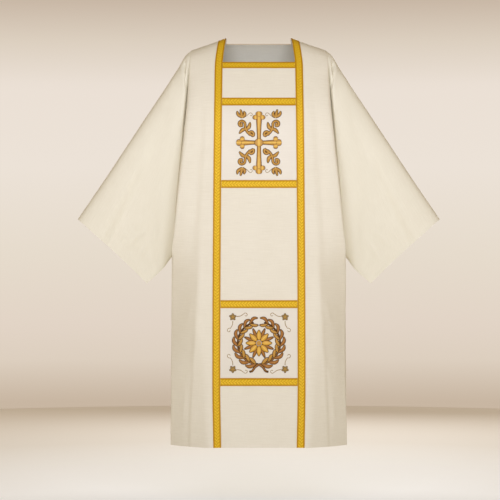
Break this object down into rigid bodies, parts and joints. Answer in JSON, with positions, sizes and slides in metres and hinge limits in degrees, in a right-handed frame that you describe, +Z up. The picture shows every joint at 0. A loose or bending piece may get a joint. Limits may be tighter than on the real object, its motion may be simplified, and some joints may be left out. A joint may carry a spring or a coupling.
{
  "type": "dalmatic",
  "caption": "Worn dalmatic: a knee-length vestment with wide sleeves, a square neck, gold galloon bands and bars, and embroidered ivory squares.",
  "frame": {"origin": "midway between the shoulders, level with the neck end of the shoulder seams, where the wearer holds the garment up", "axes": "+Z up, the wearer faces -Y, +X is the wearer's left"},
  "size_m": [1.116, 0.2792, 1.2582],
  "materials": {
    "cream_cloth": "fine matt weave with a faint sheen",
    "ivory_cloth": "smooth satin ground with raised embroidery",
    "gold_galloon": "woven metallic thread, satin"
  },
  "bodies": {
    "root": {"front": "cream_cloth", "back": "cream_cloth", "sleeve_right": "cream_cloth", "sleeve_left": "cream_cloth", "clavus_right": "gold_galloon", "clavus_left": "gold_galloon", "bar_neck_front": "gold_galloon", "bar_chest_upper": "gold_galloon", "bar_chest_lower": "gold_galloon", "bar_skirt_upper": "gold_galloon", "bar_skirt_lower": "gold_galloon", "bar_neck_back": "gold_galloon", "orphrey_chest": "ivory_cloth", "orphrey_skirt": "ivory_cloth"}
  },
  "joints": []
}
